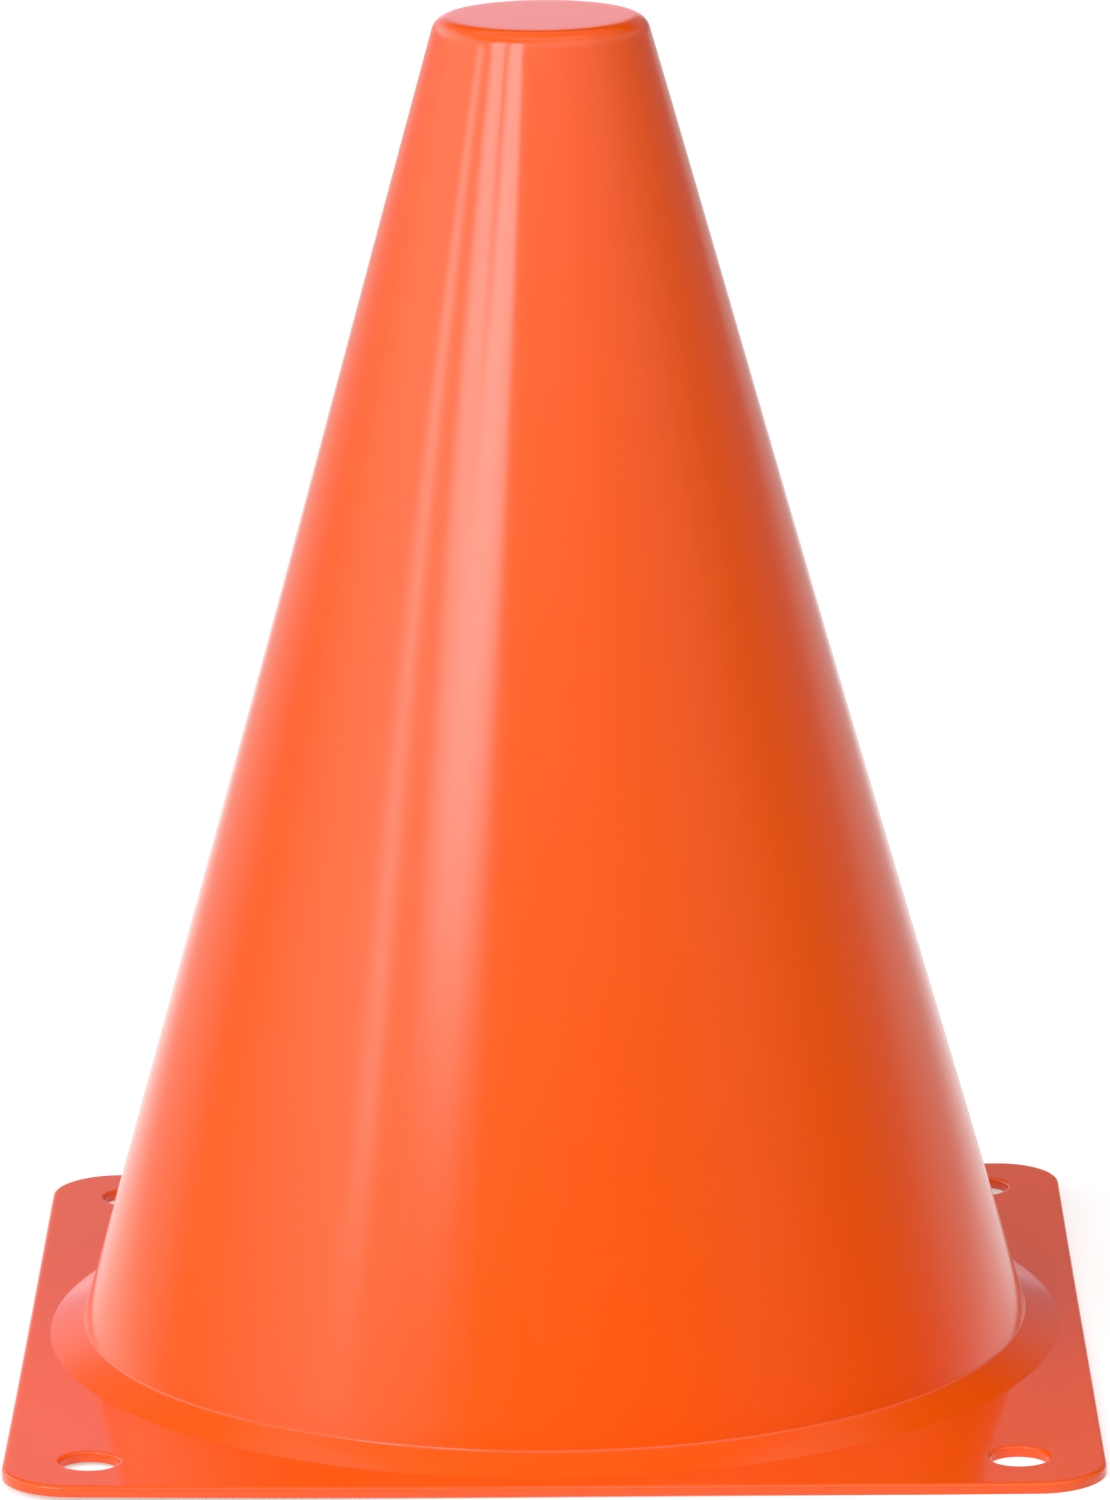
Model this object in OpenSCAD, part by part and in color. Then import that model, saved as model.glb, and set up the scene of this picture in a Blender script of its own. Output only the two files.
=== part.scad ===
// Sports marker cone, 7 inch class: a thin hollow cone on a square base plate, moulded in one
// soft plastic and open underneath so that cones stack.
// Each module is one region of the moulding. Neighbours meet face to face on a flat ring.
// Millimetres. The origin is on the cone's axis at the underside of the plate, and +Z is up.

/* [Base plate] */
// Length of each side of the square plate
base_side = 140; // [110:1:220]
// Thickness of the plate
base_t = 1.4; // [1:0.1:3]
// Radius of the plate's corners, seen from above
base_corner_r = 9; // [3:0.5:12]
// Rounding of the plate's upper edge
base_edge_r = 0.5; // [0.2:0.1:0.9]

/* [Peg holes] */
// Diameter of each corner hole
peg_hole_d = 7.7; // [4:0.1:9]
// Distance from a hole's centre to each of the two nearest sides
peg_hole_inset = 11; // [8:0.5:14]
// Rounding of a hole's upper rim
peg_rim_r = 0.35; // [0.1:0.05:0.8]

/* [Foot] */
// Flat strip left between the ramp and the middle of each side
side_strip = 3; // [1:0.5:6]
// Width of the ramp, from the plate to the corner at the foot of the wall
ramp_w = 4.6; // [3.5:0.1:8]
// Height that the ramp climbs above the plate
ramp_h = 2; // [1:0.1:3]
// Fillet between the ramp and the wall
foot_fillet_r = 0.5; // [0.3:0.1:3]

/* [Cone] */
// Height of the whole cone
cone_h = 177; // [100:1:300]
// Thickness of the wall, and of the ramp
wall_t = 1.2; // [0.8:0.1:2]

/* [Crown] */
// Diameter at the sharp corner where the wall's line meets the top
crown_d = 27.2; // [20:0.2:40]
// Rounding of the shoulder
crown_r = 2.4; // [2.2:0.1:5]
// Thickness of the closed top
crown_t = 1.4; // [1:0.1:3]

/* [Hidden] */

// Facets round the axis, round a hole and round a fillet
$fn = 180;
hole_fn = 64;
fillet_fn = 64;

// Overrun of every cut past the face that it opens
cut = 1;
// Overlap by which a rounding crosses the two lines that it joins, so that no sliver is left there
cross = 0.0002;
// Plain wall drawn with the foot above its fillet, and with the crown below its shoulder
foot_land = 1;
crown_land = 1.5;

// Corners of the outer profile, as [radius, height]
ramp_toe = [base_side / 2 - side_strip, base_t];
foot_corner = [ramp_toe[0] - ramp_w, base_t + ramp_h];
crown_corner = [crown_d / 2, cone_h];

// Slopes: the wall leans in by taper from upright, and the ramp climbs at ramp_a
taper = atan((foot_corner[0] - crown_corner[0]) / (cone_h - foot_corner[1]));
ramp_a = atan(ramp_h / ramp_w);

// Directions into the plastic, square to the wall, the ramp and the top
wall_in = [-cos(taper), -sin(taper)];
ramp_in = [-sin(ramp_a), -cos(ramp_a)];
top_in = [0, -1];

// The point that lies d inside both of two lines through a corner, or outside them when d is negative
function inset(corner, d, a, b) = corner + d * (a + b) / (1 + a * b);

// Outer and inner radius of the wall at a height, and inner radius under the ramp
function wall_r(z) = foot_corner[0] - (z - foot_corner[1]) * tan(taper);
function bore_r(z) = wall_r(z) - wall_t / cos(taper);
function mouth_r(z) = ramp_toe[0] - (z - base_t + wall_t / cos(ramp_a)) / tan(ramp_a);

// Fillet at the foot: its centre outside the wall, and the inner corner of the shell
fillet_c = inset(foot_corner, -foot_fillet_r, wall_in, ramp_in);
foot_inner = inset(foot_corner, wall_t, wall_in, ramp_in);
// Height where the foot ends, just above the fillet's end on the wall
foot_top = fillet_c[1] + foot_fillet_r * wall_in[1] + foot_land;

// Shoulder: the centre of its rounding, and the same inside the shell
shoulder_c = inset(crown_corner, crown_r, wall_in, top_in);
crown_inner_corner = [bore_r(cone_h - crown_t), cone_h - crown_t];
crown_inner_r = crown_r - wall_t;
inner_c = inset(crown_inner_corner, crown_inner_r, wall_in, top_in);
// Height where the crown begins, just below the shoulder's start on the wall
crown_bottom = min(shoulder_c[1] - crown_r * wall_in[1], inner_c[1]) - crown_land;

// Distance from the axis to a hole's centre, along X and along Y
peg_place = base_side / 2 - peg_hole_inset;
// Distance from the axis to the centre of a corner's rounding
corner_place = base_side / 2 - base_corner_r;

// Section through the plate's rim, from a line of the given radius or reach outwards
module rim_section(reach) {
    square([reach - base_edge_r, base_t]);
    square([reach, base_t - base_edge_r]);
    translate([reach - base_edge_r, base_t - base_edge_r]) circle(base_edge_r, $fn = fillet_fn);
}

// The plate before it is cut: a middle, four side bars and four quarter-turn corners
module plate_blank() {
    linear_extrude(base_t) square(2 * corner_place, center = true);
    for (turn = [0:90:270]) rotate([0, 0, turn]) {
        translate([corner_place, corner_place, 0])
            rotate([90, 0, 0]) linear_extrude(2 * corner_place) rim_section(base_corner_r);
        translate([corner_place, corner_place, 0])
            rotate_extrude(angle = 90) rim_section(base_corner_r);
    }
}

// Cutter for one peg hole with its rounded upper rim
module peg_cut() {
    translate([0, 0, -cut]) cylinder(h = base_t + 2 * cut, d = peg_hole_d, $fn = hole_fn);
    rotate_extrude($fn = hole_fn) difference() {
        translate([peg_hole_d / 2 - peg_rim_r, base_t - peg_rim_r]) square([2 * peg_rim_r, peg_rim_r + cut]);
        translate([peg_hole_d / 2 + peg_rim_r, base_t - peg_rim_r]) circle(peg_rim_r, $fn = fillet_fn);
    }
}

module base_plate() {
    color([0.93, 0.36, 0.16]) difference() {
        plate_blank();
        // the mouth of the hollow carries on the slope under the ramp
        translate([0, 0, -cut])
            cylinder(h = base_t + 2 * cut, r1 = mouth_r(-cut), r2 = mouth_r(base_t + cut));
        for (x = [-peg_place, peg_place], y = [-peg_place, peg_place]) translate([x, y, 0]) peg_cut();
    }
}

module foot_ramp() {
    color([0.95, 0.38, 0.15]) rotate_extrude() {
        polygon([
            [mouth_r(base_t), base_t], ramp_toe, foot_corner, [wall_r(foot_top), foot_top],
            [bore_r(foot_top), foot_top], foot_inner
        ]);
        difference() {
            polygon([
                foot_corner, fillet_c + foot_fillet_r * ramp_in, fillet_c, fillet_c + foot_fillet_r * wall_in
            ]);
            translate(fillet_c) circle(foot_fillet_r + cross, $fn = fillet_fn);
        }
    }
}

module cone_wall() {
    color([0.97, 0.40, 0.14]) rotate_extrude() polygon([
        [bore_r(foot_top), foot_top], [wall_r(foot_top), foot_top],
        [wall_r(crown_bottom), crown_bottom], [bore_r(crown_bottom), crown_bottom]
    ]);
}

// Half section of the crown's outside or inside: a taper with one rounded corner
module crown_section(corner, centre, r, low_r, low_z) {
    polygon([
        [0, low_z], [low_r, low_z], centre - r * wall_in, centre - r * top_in, [0, corner[1]]
    ]);
    translate(centre) circle(r + cross, $fn = fillet_fn);
}

module crown() {
    color([0.95, 0.45, 0.30]) rotate_extrude() difference() {
        crown_section(crown_corner, shoulder_c, crown_r, wall_r(crown_bottom), crown_bottom);
        crown_section(
            crown_inner_corner, inner_c, crown_inner_r, bore_r(crown_bottom - cut), crown_bottom - cut
        );
    }
}

base_plate();
foot_ramp();
cone_wall();
crown();
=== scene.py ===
import math
import bmesh
import bpy
from mathutils import Matrix, Vector
from mathutils.geometry import delaunay_2d_cdt


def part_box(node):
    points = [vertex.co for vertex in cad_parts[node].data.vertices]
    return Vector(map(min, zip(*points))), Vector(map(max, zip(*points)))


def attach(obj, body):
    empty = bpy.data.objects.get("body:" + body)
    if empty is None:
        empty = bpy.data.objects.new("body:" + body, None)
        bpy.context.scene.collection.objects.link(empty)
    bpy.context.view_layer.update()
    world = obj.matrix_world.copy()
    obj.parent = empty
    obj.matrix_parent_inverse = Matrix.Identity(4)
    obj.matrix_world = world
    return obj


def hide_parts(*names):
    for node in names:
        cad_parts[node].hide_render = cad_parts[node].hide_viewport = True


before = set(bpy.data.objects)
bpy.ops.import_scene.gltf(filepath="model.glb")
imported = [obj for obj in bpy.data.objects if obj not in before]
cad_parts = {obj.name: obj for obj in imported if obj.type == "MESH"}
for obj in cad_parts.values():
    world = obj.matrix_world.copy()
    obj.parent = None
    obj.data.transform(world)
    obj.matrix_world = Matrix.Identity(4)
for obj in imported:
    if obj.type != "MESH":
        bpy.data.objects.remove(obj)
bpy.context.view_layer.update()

# A small orange marker cone, moulded in one soft plastic. Each packed region gets a smooth skin
# with the moulding's own finish, and the same few lengths as the region that it stands for.

mm = 0.001
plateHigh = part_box("base_plate")[1]
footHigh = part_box("foot_ramp")[1]
wallLow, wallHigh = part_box("cone_wall")
crownLow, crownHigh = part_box("crown")

coneHeight = crownHigh.z
plateHalf = plateHigh.x
plateTop = plateHigh.z
toeRadius = footHigh.x
wallFootRadius = wallHigh.x       # outside of the wall where the foot ends
wallTopRadius = crownHigh.x       # outside of the wall where the crown begins
# how far the wall leans in per metre of height
slope = (wallFootRadius - wallTopRadius) / (wallHigh.z - wallLow.z)
taper = math.atan(slope)

# what the whole moulding shares
moulding = {
    "wall": 1.2 * mm,
    "turns": 360,                    # divisions round the axis
    "arcSteps": 14,                  # divisions of a rounding
    "weld": 0.002 * mm,
    "crease": math.radians(20.0),    # the surface looks smooth where it turns by less than this
    # how far the soft plate has bent up off the floor, under the ramp and at its four corners
    "middleLift": 0.20 * mm,
    "cornerLift": {(-1, -1): 0.54 * mm, (1, -1): 0.0, (-1, 1): 0.31 * mm, (1, 1): 0.64 * mm},
}


def wallRadius(z):
    return wallFootRadius - (z - wallLow.z) * slope


def boreRadius(z):
    return wallRadius(z) - moulding["wall"] / math.cos(taper)


# points (radius, height) along an arc, its angles in radians from the outward direction
def arcPoints(centre, radius, start, end, steps):
    angles = [start + (end - start) / steps * k for k in range(steps + 1)]
    return [(centre[0] + radius * math.cos(a), centre[1] + radius * math.sin(a)) for a in angles]


# points from a to b, without b
def between(a, b, steps):
    return [(a[0] + (b[0] - a[0]) * k / steps, a[1] + (b[1] - a[1]) * k / steps) for k in range(steps)]


# Node helpers

def addNode(tree, kind, inputs=None, **settings):
    made = tree.nodes.new(kind)
    for name, value in settings.items():
        setattr(made, name, value)
    for key, value in (inputs or {}).items():
        if isinstance(value, bpy.types.NodeSocket):
            tree.links.new(value, made.inputs[key])
        else:
            made.inputs[key].default_value = value
    return made


def mathNode(tree, operation, *values):
    return addNode(tree, "ShaderNodeMath", dict(enumerate(values)), operation=operation).outputs[0]


def vectorMath(tree, operation, inputs, result=0):
    return addNode(tree, "ShaderNodeVectorMath", inputs, operation=operation).outputs[result]


def mixed(tree, share, low, high):
    return addNode(tree, "ShaderNodeMix", {0: share, 2: low, 3: high}).outputs[0]


# a value carried over from one range to another, evenly or with soft ends
def remap(tree, value, low, high, toLow, toHigh, way="LINEAR"):
    inputs = {"Value": value, "From Min": low, "From Max": high, "To Min": toLow, "To Max": toHigh}
    return addNode(tree, "ShaderNodeMapRange", inputs, interpolation_type=way).outputs[0]


def softStep(tree, value, low, high, toLow, toHigh):
    return remap(tree, value, low, high, toLow, toHigh, "SMOOTHSTEP")


def splitVector(tree, vector):
    return addNode(tree, "ShaderNodeSeparateXYZ", {0: vector}).outputs


def joinVector(tree, **parts):
    return addNode(tree, "ShaderNodeCombineXYZ", parts).outputs[0]


def meshPlace(tree):
    return addNode(tree, "GeometryNodeInputPosition").outputs[0]


def putAt(tree, geometry, place):
    return addNode(tree, "GeometryNodeSetPosition", {"Geometry": geometry, "Position": place}).outputs[0]


def welded(tree, geometry, distance):
    inputs = {"Geometry": geometry, "Distance": distance}
    return addNode(tree, "GeometryNodeMergeByDistance", inputs).outputs[0]


# an empty tree with a mesh in and out, a Material input and one named input for each size
def newGeometryTree(name, sizes):
    tree = bpy.data.node_groups.new(name, "GeometryNodeTree")
    tree.interface.new_socket(name="Geometry", in_out="INPUT", socket_type="NodeSocketGeometry")
    tree.interface.new_socket(name="Geometry", in_out="OUTPUT", socket_type="NodeSocketGeometry")
    tree.interface.new_socket(name="Material", in_out="INPUT", socket_type="NodeSocketMaterial")
    for label, kind in sizes:
        tree.interface.new_socket(name=label, in_out="INPUT", socket_type="NodeSocket" + kind)
    return tree, tree.nodes.new("NodeGroupInput").outputs


def closeTree(tree, geometry, material):
    smooth = addNode(tree, "GeometryNodeSetShadeSmooth", {"Geometry": geometry})
    real = addNode(tree, "GeometryNodeRealizeInstances", {"Geometry": smooth.outputs[0]})
    finish = addNode(tree, "GeometryNodeSetMaterial", {"Geometry": real.outputs[0], "Material": material})
    out = tree.nodes.new("NodeGroupOutput")
    tree.links.new(finish.outputs[0], out.inputs[0])


# puts the tree on the piece, sets its named inputs, and turns the result into a plain mesh
def runTree(piece, tree, values):
    modifier = piece.modifiers.new(tree.name, "NODES")
    modifier.node_group = tree
    for socket in tree.interface.items_tree:
        if socket.in_out == "INPUT" and socket.name in values:
            modifier[socket.identifier] = values[socket.name]
    depsgraph = bpy.context.evaluated_depsgraph_get()
    plain = bpy.data.meshes.new_from_object(piece.evaluated_get(depsgraph))
    piece.modifiers.remove(modifier)
    piece.data = plain
    plain.name = piece.name
    return piece


def newPiece(name, points, edges=(), faces=()):
    mesh = bpy.data.meshes.new(name)
    mesh.from_pydata(points, edges, faces)
    piece = bpy.data.objects.new(name, mesh)
    bpy.context.scene.collection.objects.link(piece)
    return piece


# a flat grid whose columns will go round the axis: its mesh, the angle, and the share along its rows
def roundGrid(tree, turns, rowCount):
    columns = mathNode(tree, "ADD", turns, 1.0)
    grid = addNode(tree, "GeometryNodeMeshGrid", {
        "Size X": 1.0, "Size Y": 1.0, "Vertices X": columns, "Vertices Y": rowCount})
    place = splitVector(tree, meshPlace(tree))
    turn = mathNode(tree, "MULTIPLY", mathNode(tree, "ADD", place["X"], 0.5), 2 * math.pi)
    share = mathNode(tree, "ADD", place["Y"], 0.5)
    return grid.outputs["Mesh"], turn, share


# the number of the row that this share falls on
def rowNumber(tree, share, rowCount):
    last = mathNode(tree, "SUBTRACT", rowCount, 1.0)
    return mathNode(tree, "ROUND", mathNode(tree, "MULTIPLY", share, last))


def roundPlace(tree, radius, turn, height):
    across = mathNode(tree, "MULTIPLY", radius, mathNode(tree, "COSINE", turn))
    along = mathNode(tree, "MULTIPLY", radius, mathNode(tree, "SINE", turn))
    return joinVector(tree, X=across, Y=along, Z=height)


# Turned pieces: a section drawn as a row of points in the XZ plane goes once round the axis

def makeTurnTree():
    tree, given = newGeometryTree("turnedSection", [("Turns", "Int"), ("Weld", "Float")])
    section = given["Geometry"]
    size = addNode(tree, "GeometryNodeAttributeDomainSize", {"Geometry": section})
    count = size.outputs["Point Count"]
    mesh, turn, share = roundGrid(tree, given["Turns"], count)
    drawn = addNode(tree, "GeometryNodeSampleIndex", {
        "Geometry": section, "Value": meshPlace(tree), "Index": rowNumber(tree, share, count),
    }, data_type="FLOAT_VECTOR", domain="POINT")
    parts = splitVector(tree, drawn.outputs[0])
    skin = putAt(tree, mesh, roundPlace(tree, parts["X"], turn, parts["Z"]))
    closeTree(tree, welded(tree, skin, given["Weld"]), given["Material"])
    return tree


turnTree = makeTurnTree()


def turnedPiece(name, section, material):
    points = [(r, 0.0, z) for r, z in section]
    piece = newPiece(name, points, [(k, k + 1) for k in range(len(points) - 1)])
    values = {"Material": material, "Turns": moulding["turns"], "Weld": moulding["weld"]}
    return runTree(piece, turnTree, values)


# Finish: the plastic is orange all through, with a soft gloss

plastic = {
    "colour": (0.90, 0.099, 0.0022), "deepColour": (0.89, 0.092, 0.0018),
    "cloudScale": 22.0, "cloudDetail": 3.0,
    "ior": 1.5, "sheen": (1.0, 0.88, 1.0), "roughness": 0.155,
    # the plate is glossier than the wall, and the change lies between these heights
    "plateRoughness": 0.09, "plateEnds": (2.2 * mm, 3.2 * mm),
    # broad and fine lines of flow up the wall: the scale of their noise round the axis, how little it
    # changes with height, their depth, and what the fine ones add to the roughness
    "flowLines": 7.0, "flowRise": 3.0, "flowDepth": 0.03 * mm,
    "fineLines": 45.0, "fineDepth": 0.0012 * mm, "fineGloss": 0.01,
    "grainScale": 900.0, "grainDepth": 0.0012 * mm, "grainGloss": 0.02,
    # the lines fade out on the crown between these distances from the axis, and at the foot between
    # these heights
    "bareTop": (11.5 * mm, 13.8 * mm), "bareFoot": (2.5 * mm, 6.0 * mm),
    "noiseSpan": (0.3, 0.7),         # most of a noise's values lie between these
}


def mouldedPlastic(look):
    material = bpy.data.materials.new("orangePlastic")
    material.use_nodes = True
    tree = material.node_tree
    shader = tree.nodes["Principled BSDF"]
    shader.inputs["IOR"].default_value = look["ior"]
    shader.inputs["Specular Tint"].default_value = (*look["sheen"], 1.0)
    place = addNode(tree, "ShaderNodeTexCoord").outputs["Object"]
    parts = splitVector(tree, place)
    flat = joinVector(tree, X=parts["X"], Y=parts["Y"])
    reach = vectorMath(tree, "LENGTH", {0: flat}, "Value")

    def noise(where, scale, detail=1.0):
        inputs = {"Vector": where, "Scale": scale, "Detail": detail}
        return addNode(tree, "ShaderNodeTexNoise", inputs).outputs["Fac"]

    # pigment that isn't stirred in quite evenly
    tint = addNode(tree, "ShaderNodeValToRGB", {"Fac": noise(place, look["cloudScale"], look["cloudDetail"])})
    ends = zip(tint.color_ramp.elements, look["noiseSpan"], (look["colour"], look["deepColour"]))
    for stop, share, colour in ends:
        stop.position = share
        stop.color = (*colour, 1.0)
    tree.links.new(tint.outputs["Color"], shader.inputs["Base Color"])

    # noise on the direction from the axis, hardly changing with height, draws lines that run up the wall
    outward = vectorMath(tree, "NORMALIZE", {0: flat})
    onWall = mathNode(tree, "MULTIPLY", remap(tree, reach, *look["bareTop"], 0.0, 1.0),
                      remap(tree, parts["Z"], *look["bareFoot"], 0.0, 1.0))
    lift = joinVector(tree, Z=mathNode(tree, "MULTIPLY", parts["Z"], look["flowRise"]))

    def lines(count):
        spread = vectorMath(tree, "SCALE", {0: outward, "Scale": count})
        along = vectorMath(tree, "ADD", {0: spread, 1: lift})
        return mathNode(tree, "MULTIPLY", noise(along, 1.0), onWall)

    broad, fine = lines(look["flowLines"]), lines(look["fineLines"])
    grain = noise(place, look["grainScale"])
    lineGloss = remap(tree, fine, *look["noiseSpan"], -look["fineGloss"], look["fineGloss"])
    grainGloss = remap(tree, grain, *look["noiseSpan"], 0.0, look["grainGloss"])
    uneven = mathNode(tree, "ADD", lineGloss, grainGloss)
    gloss = softStep(tree, parts["Z"], *look["plateEnds"], look["plateRoughness"], look["roughness"])
    tree.links.new(mathNode(tree, "ADD", gloss, uneven), shader.inputs["Roughness"])
    normal = None
    for height, depth in ((broad, "flowDepth"), (fine, "fineDepth"), (grain, "grainDepth")):
        inputs = {"Height": height, "Distance": look[depth], "Strength": 1.0}
        if normal:
            inputs["Normal"] = normal
        normal = addNode(tree, "ShaderNodeBump", inputs).outputs[0]
    tree.links.new(normal, shader.inputs["Normal"])
    return material


orangePlastic = mouldedPlastic(plastic)
print("finish made")


# Wall: a leaning skin whose line is very slightly hollow, thickened inwards

wallSizes = {"rings": 90, "hollow": 0.20 * mm}


def makeWallTree():
    tree, given = newGeometryTree("leaningWall", [
        ("Turns", "Int"), ("Rings", "Int"), ("Weld", "Float"),
        ("Foot Radius", "Float"), ("Top Radius", "Float"), ("Foot Height", "Float"), ("Top Height", "Float"),
        ("Hollow", "Float"), ("Level Thickness", "Float")])
    mesh, turn, share = roundGrid(tree, given["Turns"], mathNode(tree, "ADD", given["Rings"], 1.0))
    lean = mixed(tree, share, given["Foot Radius"], given["Top Radius"])
    height = mixed(tree, share, given["Foot Height"], given["Top Height"])
    bow = mathNode(tree, "POWER", mathNode(tree, "SINE", mathNode(tree, "MULTIPLY", share, math.pi)), 2.0)
    radius = mathNode(tree, "SUBTRACT", lean, mathNode(tree, "MULTIPLY", bow, given["Hollow"]))
    skin = putAt(tree, mesh, roundPlace(tree, radius, turn, height))
    closed = welded(tree, skin, given["Weld"])
    level = vectorMath(tree, "MULTIPLY", {0: meshPlace(tree), 1: (1.0, 1.0, 0.0)})
    outward = vectorMath(tree, "NORMALIZE", {0: level})
    inward = vectorMath(tree, "SCALE", {
        0: outward, "Scale": mathNode(tree, "MULTIPLY", given["Level Thickness"], -1.0)})
    lining = addNode(tree, "GeometryNodeExtrudeMesh", {
        "Mesh": closed, "Offset": inward, "Offset Scale": 1.0, "Individual": False}, mode="FACES")
    turned = addNode(tree, "GeometryNodeFlipFaces", {"Mesh": lining.outputs["Mesh"]}).outputs[0]
    both = tree.nodes.new("GeometryNodeJoinGeometry")
    for part in (closed, turned):
        tree.links.new(part, both.inputs[0])
    closeTree(tree, welded(tree, both.outputs[0], given["Weld"]), given["Material"])
    return tree


def makeWall():
    return runTree(newPiece("wallMoulding", []), makeWallTree(), {
        "Material": orangePlastic, "Weld": moulding["weld"],
        "Turns": moulding["turns"], "Rings": wallSizes["rings"],
        "Foot Radius": wallFootRadius, "Top Radius": wallTopRadius,
        "Foot Height": wallLow.z, "Top Height": wallHigh.z,
        "Hollow": wallSizes["hollow"], "Level Thickness": moulding["wall"] / math.cos(taper)})


# Foot: the ramp up from the plate, a small fillet, and the start of the wall

footSizes = {
    "rampWidth": 4.6 * mm, "rampHeight": 2.0 * mm, "fillet": 0.5 * mm,
    "rampSteps": 12, "wallSteps": 3, "innerSteps": 6, "underSteps": 8,
}
rampRise = math.atan(footSizes["rampHeight"] / footSizes["rampWidth"])
# radius of the hollow's mouth at the plate's top, and at the floor
mouthTop = toeRadius - moulding["wall"] / math.sin(rampRise)
mouthLow = mouthTop + plateTop / math.tan(rampRise)


def makeFoot():
    toe = (toeRadius, plateTop)
    corner = (toe[0] - footSizes["rampWidth"], toe[1] + footSizes["rampHeight"])
    mouth = (mouthTop, plateTop)
    wallEnd = (wallFootRadius, footHigh.z)
    boreEnd = (boreRadius(footHigh.z), footHigh.z)
    # directions into the plastic, square to the wall and to the ramp, and the one between them
    wallIn = (-math.cos(taper), -math.sin(taper))
    rampIn = (-math.sin(rampRise), -math.cos(rampRise))
    reach = 1 + wallIn[0] * rampIn[0] + wallIn[1] * rampIn[1]
    middle = [(wallIn[k] + rampIn[k]) / reach for k in (0, 1)]
    centre = [corner[k] - footSizes["fillet"] * middle[k] for k in (0, 1)]
    inner = [corner[k] + moulding["wall"] * middle[k] for k in (0, 1)]
    # the fillet turns from below the ramp's line to inside the wall's line
    start, end = -math.pi / 2 - rampRise, -math.pi + taper
    fillet = arcPoints(centre, footSizes["fillet"], start, end, moulding["arcSteps"])
    ramp = between(toe, fillet[0], footSizes["rampSteps"])
    wallStart = between(fillet[-1], wallEnd, footSizes["wallSteps"])[1:]
    lining = between(boreEnd, inner, footSizes["innerSteps"])
    under = between(inner, mouth, footSizes["underSteps"])
    section = ramp + fillet + wallStart + [wallEnd] + lining + under + [mouth, toe]
    return turnedPiece("footMoulding", section, orangePlastic)


# Crown: the end of the wall, its rounded shoulder and the closed top

crownSizes = {"round": 2.4 * mm, "top": 1.4 * mm, "topSteps": 8, "wallSteps": 4}


def makeCrown():
    ceiling = coneHeight - crownSizes["top"]
    lean = -math.sin(taper)

    # arc from the level at z to the wall's line, which would meet it at this radius
    def roundedCorner(radius, z, size):
        reach = 1 - lean
        centre = (radius - size * math.cos(taper) / reach, z + size * (lean - 1) / reach)
        return arcPoints(centre, size, math.pi / 2, taper, moulding["arcSteps"])

    outer = roundedCorner(wallRadius(coneHeight), coneHeight, crownSizes["round"])
    inner = roundedCorner(boreRadius(ceiling), ceiling, crownSizes["round"] - moulding["wall"])
    wallEnd = (wallTopRadius, crownLow.z)
    under = between((0.0, ceiling), inner[0], crownSizes["topSteps"]) + inner
    top = between((0.0, coneHeight), outer[0], crownSizes["topSteps"])
    side = between(outer[-1], wallEnd, crownSizes["wallSteps"])[1:]
    section = under + [(boreRadius(crownLow.z), crownLow.z), wallEnd] + list(reversed(top + outer + side))
    return turnedPiece("crownMoulding", section, orangePlastic)


# Plate: sheets filled between outlines, rows of points round the edge and the mouth, and lined holes

plateSizes = {
    "cornerRadius": 9.0 * mm, "edgeRound": 0.5 * mm,
    "hole": 7.7 * mm, "holeInset": 11.0 * mm, "rimRound": 0.35 * mm,
    "holeTurns": 72, "roundSteps": 6, "cornerSteps": 24, "sideSteps": 48,
    # spread of the points that fill the sheets, and the share of it that they stay clear of an outline
    "meshStep": 2.6 * mm, "clearShare": 0.35, "extraRows": 2, "sheetWeld": 0.0001 * mm,
    "support": 0.3 * mm,             # the top has one more row of points this far from each rounding
}
holePlace = plateHalf - plateSizes["holeInset"]
boreSize = plateSizes["hole"] / 2
rimSize = boreSize + plateSizes["rimRound"]
cornerPlace = plateHalf - plateSizes["cornerRadius"]


# the plate's outline, this far inside its edge
def plateOutline(inset):
    radius = plateSizes["cornerRadius"] - inset
    arcs = []
    for quarter, (x, y) in enumerate(((1, 1), (-1, 1), (-1, -1), (1, -1))):
        start = quarter * math.pi / 2
        centre = (x * cornerPlace, y * cornerPlace)
        arcs.append(arcPoints(centre, radius, start, start + math.pi / 2, plateSizes["cornerSteps"]))
    outline = []
    for arc, following in zip(arcs, arcs[1:] + arcs[:1]):
        outline += arc + between(arc[-1], following[0], plateSizes["sideSteps"])[1:]
    return outline


def ringPoints(radius, count, centre=(0.0, 0.0)):
    return arcPoints(centre, radius, 0.0, 2 * math.pi, count)[:-1]


# triangles between outlines, with an even spread of points that keeps long slivers out
def fillSheet(loops, isInside):
    points, edges = [], []
    for loop in loops:
        first = len(points)
        points += loop
        edges += [(first + k, first + (k + 1) % len(loop)) for k in range(len(loop))]
    step = plateSizes["meshStep"]
    count = int(plateHalf / step) + plateSizes["extraRows"]
    for row in range(-count, count + 1):
        for column in range(-count, count + 1):
            point = ((column + 0.5 * (row % 2)) * step, row * step * math.sqrt(3) / 2)
            if isInside(point, plateSizes["clearShare"] * step):
                points.append(point)
    flatPoints = [Vector(p) for p in points]
    made, _, faces, *_ = delaunay_2d_cdt(flatPoints, edges, [], 0, plateSizes["sheetWeld"])

    def middle(face):
        return sum((made[k] for k in face), Vector((0.0, 0.0))) / len(face)

    return made, [face for face in faces if isInside(middle(face), 0.0)]


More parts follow.
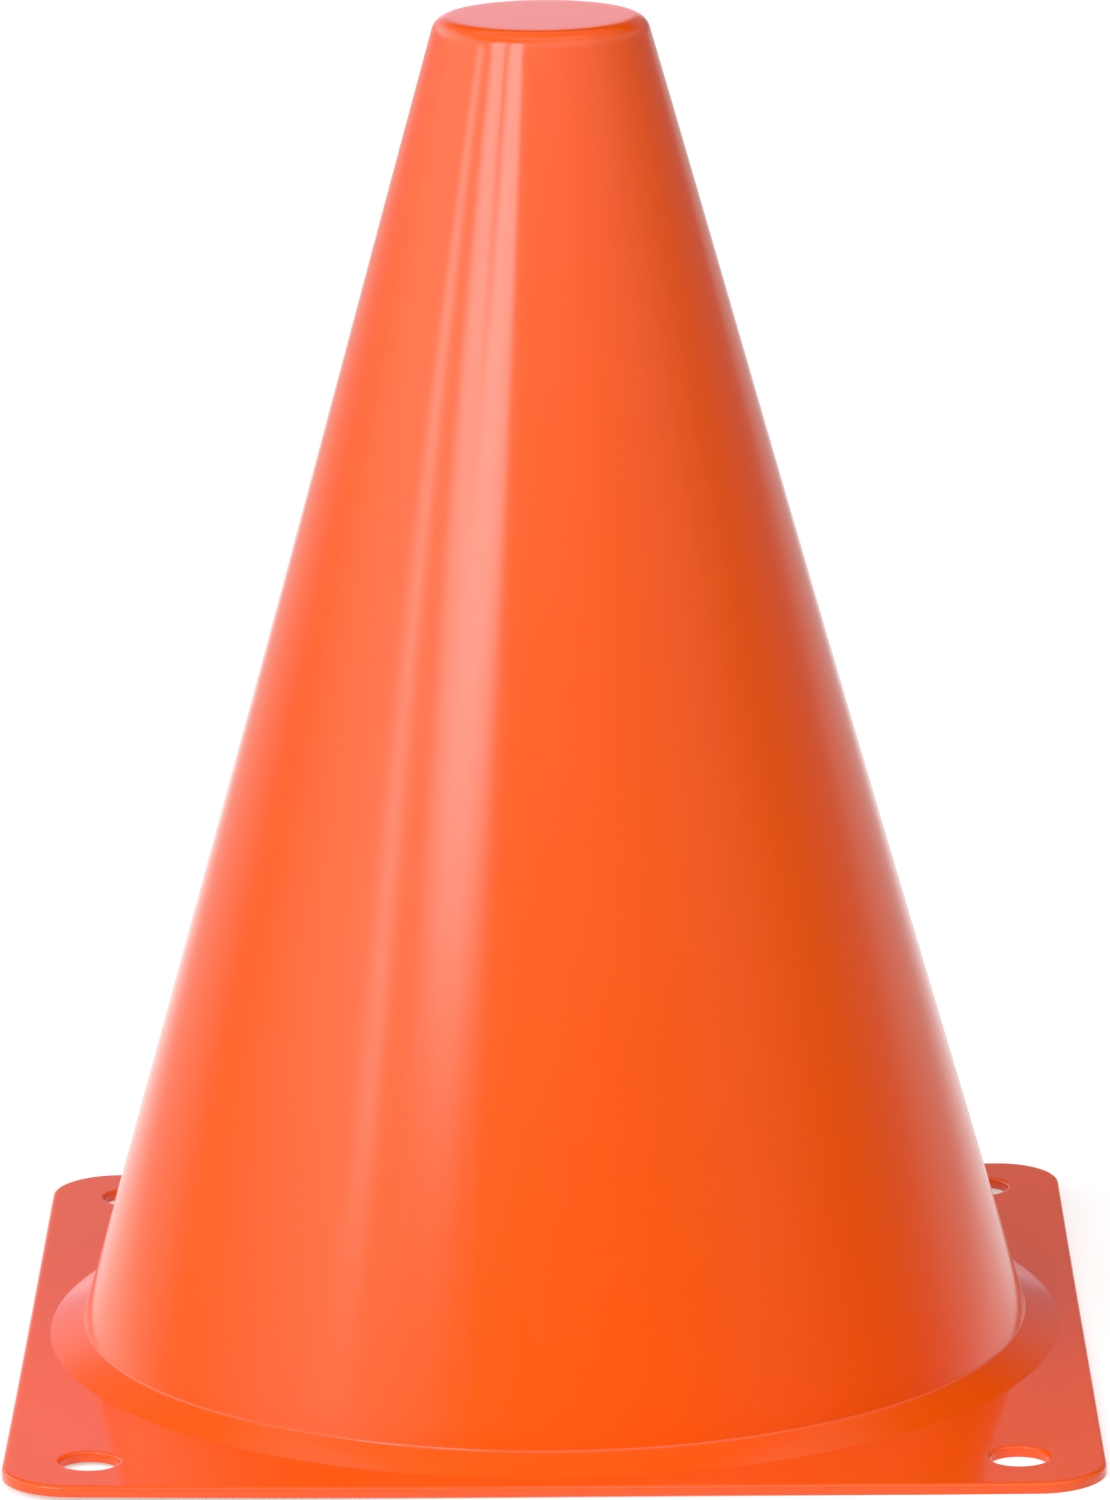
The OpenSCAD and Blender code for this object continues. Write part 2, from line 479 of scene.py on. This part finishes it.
def makeHoleTree():
    tree, given = newGeometryTree("linedHoles", [
        ("Turns", "Int"), ("Round Steps", "Int"), ("Bore Radius", "Float"), ("Rim Rounding", "Float"),
        ("Thickness", "Float"), ("Weld", "Float")])
    steps, rounding = given["Round Steps"], given["Rim Rounding"]
    # the rows go round the rim, then straight down the bore to one last row at the underside
    rows = mathNode(tree, "ADD", steps, 2.0)
    mesh, turn, share = roundGrid(tree, given["Turns"], rows)
    row = rowNumber(tree, share, rows)
    aboveLast = mathNode(tree, "LESS_THAN", row, mathNode(tree, "ADD", steps, 0.5))
    rolled = mathNode(tree, "MINIMUM", mathNode(tree, "DIVIDE", row, steps), 1.0)
    angle = mathNode(tree, "MULTIPLY", rolled, math.pi / 2)
    inwards = mathNode(tree, "SUBTRACT", 1.0, mathNode(tree, "SINE", angle))
    downwards = mathNode(tree, "SUBTRACT", 1.0, mathNode(tree, "COSINE", angle))
    radius = mathNode(tree, "ADD", given["Bore Radius"], mathNode(tree, "MULTIPLY", rounding, inwards))
    drop = mathNode(tree, "MULTIPLY", rounding, downwards)
    height = mathNode(tree, "MULTIPLY", mathNode(tree, "SUBTRACT", given["Thickness"], drop), aboveLast)
    lining = putAt(tree, mesh, roundPlace(tree, radius, turn, height))
    holes = addNode(tree, "GeometryNodeInstanceOnPoints", {
        "Points": given["Geometry"], "Instance": welded(tree, lining, given["Weld"])})
    closeTree(tree, holes.outputs[0], given["Material"])
    return tree


def makePlate():
    holes = [(x * holePlace, y * holePlace) for x in (-1, 1) for y in (-1, 1)]
    edgeRound, support = plateSizes["edgeRound"], plateSizes["support"]
    turns, holeTurns, roundSteps = moulding["turns"], plateSizes["holeTurns"], plateSizes["roundSteps"]

    # a test for points outside the mouth and the holes, and inside the plate's outline
    def insideOf(mouth, inset, hole):
        def isInside(p, margin):
            clearOfHoles = all(math.hypot(p[0] - x, p[1] - y) > hole + margin for x, y in holes)
            overCorner = math.hypot(*(max(abs(p[k]) - cornerPlace, 0.0) for k in (0, 1)))
            return (math.hypot(p[0], p[1]) > mouth + margin and clearOfHoles
                    and overCorner < plateSizes["cornerRadius"] - inset - margin)
        return isInside

    top = [plateOutline(edgeRound), plateOutline(edgeRound + support), ringPoints(mouthTop, turns)]
    low = [plateOutline(0.0), ringPoints(mouthLow, turns)]
    for hole in holes:
        top += [ringPoints(rimSize, holeTurns, hole), ringPoints(rimSize + support, holeTurns, hole)]
        low.append(ringPoints(boreSize, holeTurns, hole))
    topSheet = fillSheet(top, insideOf(mouthTop, edgeRound, rimSize))
    lowSheet = fillSheet(low, insideOf(mouthLow, 0.0, boreSize))

    piece = newPiece("plateMoulding", [(x, y, 0.0) for x, y in holes])
    runTree(piece, makeHoleTree(), {
        "Material": orangePlastic, "Turns": holeTurns, "Round Steps": roundSteps,
        "Bore Radius": boreSize, "Rim Rounding": plateSizes["rimRound"], "Thickness": plateTop,
        "Weld": moulding["weld"]})
    body = bmesh.new()
    body.from_mesh(piece.data)
    for (points, faces), z, turnOver in ((topSheet, plateTop, False), (lowSheet, 0.0, True)):
        corners = [body.verts.new((p[0], p[1], z)) for p in points]
        for face in faces:
            body.faces.new([corners[k] for k in (reversed(face) if turnOver else face)])

    # faces between each row of points and the next, where a row is an outline and its height
    def joinRows(rows):
        loops = [[body.verts.new((x, y, z)) for x, y in loop] for loop, z in rows]
        for first, second in zip(loops, loops[1:]):
            for k in range(len(first)):
                after = (k + 1) % len(first)
                body.faces.new((first[k], first[after], second[after], second[k]))

    edgeRows = [(plateOutline(0.0), 0.0), (plateOutline(0.0), (plateTop - edgeRound) / 2)]
    for k in range(roundSteps + 1):
        angle = math.pi / 2 * k / roundSteps
        inset = edgeRound * (1 - math.cos(angle))
        edgeRows.append((plateOutline(inset), plateTop - edgeRound * (1 - math.sin(angle))))
    joinRows(edgeRows)
    joinRows([(ringPoints(mouthTop, turns), plateTop), (ringPoints(mouthLow, turns), 0.0)])
    bmesh.ops.remove_doubles(body, verts=body.verts, dist=moulding["weld"])
    body.to_mesh(piece.data)
    body.free()
    return piece


# bends a finished piece as the soft plate has bent, and leaves the crown's height as it was
def settle(piece):
    holeReach = math.sqrt(2) * holePlace
    for vertex in piece.data.vertices:
        p = vertex.co
        reach = math.hypot(p.x, p.y)
        lift = moulding["middleLift"]
        if reach > toeRadius:
            # the bend grows towards the corners, and there is none along the middle of a side
            flap = (reach - toeRadius) / (holeReach - toeRadius) * 2 * abs(p.x * p.y) / reach ** 2
            corner = moulding["cornerLift"][(1 if p.x > 0 else -1, 1 if p.y > 0 else -1)]
            lift = max(lift + (corner - lift) * flap, 0.0)
        p.z = min(p.z + lift * (1 - p.z / coneHeight), coneHeight)


makers = {"base_plate": makePlate, "foot_ramp": makeFoot, "cone_wall": makeWall, "crown": makeCrown}
for node, make in makers.items():
    piece = make()
    # the trees leave an empty slot in front of the material
    piece.data.materials.clear()
    piece.data.materials.append(orangePlastic)
    settle(piece)
    piece.data.shade_smooth()
    piece.data.set_sharp_from_angle(angle=moulding["crease"])
    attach(piece, "root")
    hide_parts(node)
    print(piece.name, "made,", len(piece.data.polygons), "faces")


# Stage: a pale floor with a painted strip of light, flat panels that draw a softbox on the left, and a soft
# pale surround

white = (1.0, 1.0, 1.0, 1.0)
rosy = (1.0, 0.82, 1.0, 1.0)
stage = {
    "floorReach": 12.0, "floorTone": 0.68, "floorShown": 0.50, "floorRoughness": 0.9,
    # a painted strip of light: white in a strip that widens towards the back, and softly greyer beside it,
    # between these distances from its middle in metres, down to this share of its tone
    "strip": (0.07, 0.26), "widening": 0.06, "beside": 0.60,
}


def makeFloor():
    reach = stage["floorReach"]
    corners = [(x * reach, y * reach, 0.0) for x, y in ((-1, -1), (1, -1), (1, 1), (-1, 1))]
    floor = newPiece("floor", corners, [], [(0, 1, 2, 3)])
    material = bpy.data.materials.new("paleFloor")
    material.use_nodes = True
    tree = material.node_tree
    shader = tree.nodes["Principled BSDF"]
    across, back, _ = splitVector(tree, addNode(tree, "ShaderNodeTexCoord").outputs["Object"])
    outside = mathNode(tree, "SUBTRACT", mathNode(tree, "ABSOLUTE", across),
                       mathNode(tree, "MULTIPLY", back, stage["widening"]))
    # painted light: the floor's colour and glow are full in the strip and fall to a grey beside it
    paintedLight = softStep(tree, outside, *stage["strip"], 1.0, stage["beside"])
    grey = mathNode(tree, "MULTIPLY", paintedLight, stage["floorTone"])
    tree.links.new(grey, shader.inputs["Base Color"])
    shader.inputs["Roughness"].default_value = stage["floorRoughness"]
    shader.inputs["Specular IOR Level"].default_value = 0.0
    shader.inputs["Emission Color"].default_value = white
    path = addNode(tree, "ShaderNodeLightPath").outputs
    mirrored = mathNode(tree, "MAXIMUM", path["Is Glossy Ray"], path["Is Transmission Ray"])
    seen = mathNode(tree, "MAXIMUM", path["Is Camera Ray"], mirrored)
    shown = mathNode(tree, "MULTIPLY", mathNode(tree, "MULTIPLY", seen, paintedLight), stage["floorShown"])
    tree.links.new(shown, shader.inputs["Emission Strength"])
    floor.data.materials.append(material)


# the panels stand on one upright plane that faces the axis, its bearing in degrees from the camera's
# side. Their outlines (across, height) and its distance are in metres, and the gaps in the softbox are
# an arm that stands before it.
panelPlane = {"bearing": -35.5, "distance": 1.5}
panels = {
    "softboxLeft": {"glow": 7.1, "outline": [
        (-0.02, 0.45), (-0.02, 0.60), (-0.07, 0.66), (-0.10, 0.74), (-0.10, 1.38), (-0.32, 1.38),
        (-0.54, 1.12), (-0.52, 0.78), (-0.44, 0.66), (-0.30, 0.54), (-0.17, 0.46)]},
    "softboxRight": {"glow": 8.4, "outline": [
        (-0.02, 0.45), (0.14, 0.46), (0.27, 0.50), (0.38, 0.60), (0.43, 0.74), (0.48, 1.12), (0.32, 1.38),
        (0.255, 1.38), (0.255, 0.66), (0.235, 0.66), (0.235, 1.38),
        (0.08, 1.38), (0.08, 0.74), (0.05, 0.66), (-0.02, 0.60)]},
    "sidePanel": {"glow": 6.8, "outline": [
        (-0.38, 0.36), (-0.70, 0.56), (-0.90, 0.80), (-1.10, 0.80), (-0.88, 0.56), (-0.52, 0.36)]},
}


def makePanel(name, glow, outline):
    bearing = math.radians(panelPlane["bearing"])
    away = Vector((math.sin(bearing), -math.cos(bearing), 0.0)) * panelPlane["distance"]
    across = Vector((math.cos(bearing), math.sin(bearing), 0.0))
    points = [away + across * s + Vector((0.0, 0.0, h)) for s, h in outline]
    sheet = newPiece(name, points, [], [range(len(points))])
    material = bpy.data.materials.new(name)
    material.use_nodes = True
    tree = material.node_tree
    tree.nodes.clear()
    light = addNode(tree, "ShaderNodeEmission", {"Strength": glow})
    tree.links.new(light.outputs[0], tree.nodes.new("ShaderNodeOutputMaterial").inputs["Surface"])
    sheet.data.materials.append(material)


# each soft glow: its bearing from the camera's side, its strength, where it starts and is full towards
# that bearing (cosines), and the heights in degrees between which it rises, and between which it falls
# away again. The low ones behind the cone are slightly rosy.
surround = {
    "ceilingLeft": {"bearing": -80.0, "glow": 0.4, "reach": (-0.1, 0.9), "rise": (28.0, 50.0)},
    "ceilingRight": {"bearing": 60.0, "glow": 0.85, "reach": (-0.1, 0.9), "rise": (28.0, 50.0)},
    "ceilingBack": {"bearing": -160.0, "glow": 0.8, "reach": (-0.1, 0.8), "rise": (44.0, 58.0)},
    "ceilingTop": {"bearing": 0.0, "glow": 1.1, "reach": (-0.22, 0.22), "rise": (52.0, 64.0)},
    "frontWall": {
        "bearing": 12.0, "glow": 2.15, "reach": (0.2, 0.95), "rise": (14.5, 26.0), "fall": (38.0, 66.0)},
    "rightWall": {
        "bearing": 85.0, "glow": 0.85, "reach": (0.55, 0.98), "rise": (6.0, 20.0), "fall": (30.0, 50.0)},
    "leftWall": {
        "bearing": -95.0, "glow": 2.05, "reach": (0.3, 0.95), "rise": (2.0, 14.0), "fall": (28.0, 50.0)},
    "leftSill": {"bearing": -75.0, "glow": 0.25, "reach": (0.4, 0.95), "fall": (3.0, 14.0)},
    "backLeft": {
        "bearing": -150.0, "glow": 0.60, "reach": (0.75, 0.98), "fall": (17.0, 30.0), "colour": rosy},
    "backSill": {
        "bearing": 180.0, "glow": 0.58, "reach": (0.97, 0.999), "fall": (9.0, 18.0), "colour": rosy},
    "backRight": {
        "bearing": 150.0, "glow": 0.33, "reach": (0.4, 0.95), "fall": (16.0, 34.0), "colour": rosy},
}


def glowAmount(tree, direction, glow):
    bearing = math.radians(glow["bearing"])
    centre = (math.sin(bearing), -math.cos(bearing), 0.0)
    towards = vectorMath(tree, "DOT_PRODUCT", {0: direction, 1: centre}, "Value")
    height = splitVector(tree, direction)["Z"]
    amount = softStep(tree, towards, *glow["reach"], 0.0, glow["glow"])
    for side, ends in (("rise", (0.0, 1.0)), ("fall", (1.0, 0.0))):
        if side in glow:
            start, full = (math.sin(math.radians(angle)) for angle in glow[side])
            amount = mathNode(tree, "MULTIPLY", amount, softStep(tree, height, start, full, *ends))
    return amount


def makeWorld():
    world = bpy.data.worlds.new("paleSurround")
    bpy.context.scene.world = world
    world.use_nodes = True
    tree = world.node_tree
    tree.nodes.clear()
    direction = addNode(tree, "ShaderNodeTexCoord").outputs["Generated"]
    total = None
    for glow in surround.values():
        amount = glowAmount(tree, direction, glow)
        inputs = {"Color": glow.get("colour", white), "Strength": amount}
        light = addNode(tree, "ShaderNodeBackground", inputs).outputs[0]
        total = addNode(tree, "ShaderNodeAddShader", {0: total, 1: light}).outputs[0] if total else light
    tree.links.new(total, tree.nodes.new("ShaderNodeOutputWorld").inputs["Surface"])


# place and clip start in metres, turns in radians, and lens and sensor in millimetres
camera = {
    "place": (6.10 * mm, -1197.2 * mm, 375.2 * mm), "yaw": -0.0044, "pitch": -0.2420, "roll": -0.0108,
    "lens": 305.35, "sensor": 36.0, "clipStart": 50.0 * mm,
}


def makeCamera():
    data = bpy.data.cameras.new("portrait")
    data.sensor_fit = "HORIZONTAL"
    data.sensor_width = camera["sensor"]
    data.lens = camera["lens"]
    data.clip_start = camera["clipStart"]
    body = bpy.data.objects.new("portrait", data)
    bpy.context.scene.collection.objects.link(body)
    yaw, pitch, roll = camera["yaw"], camera["pitch"], camera["roll"]
    ahead = Vector((math.sin(yaw) * math.cos(pitch), math.cos(yaw) * math.cos(pitch), math.sin(pitch)))
    level = Vector((math.cos(yaw), -math.sin(yaw), 0.0))
    above = level.cross(ahead)
    right = math.cos(roll) * level + math.sin(roll) * above
    up = -math.sin(roll) * level + math.cos(roll) * above
    turn = Matrix((right, up, -ahead)).transposed().to_4x4()
    body.matrix_world = Matrix.Translation(camera["place"]) @ turn
    bpy.context.scene.camera = body


makeFloor()
for name, panel in panels.items():
    makePanel(name, panel["glow"], panel["outline"])
makeWorld()
makeCamera()
bpy.context.scene.view_settings.view_transform = "Standard"
print("stage, lamps and camera placed")
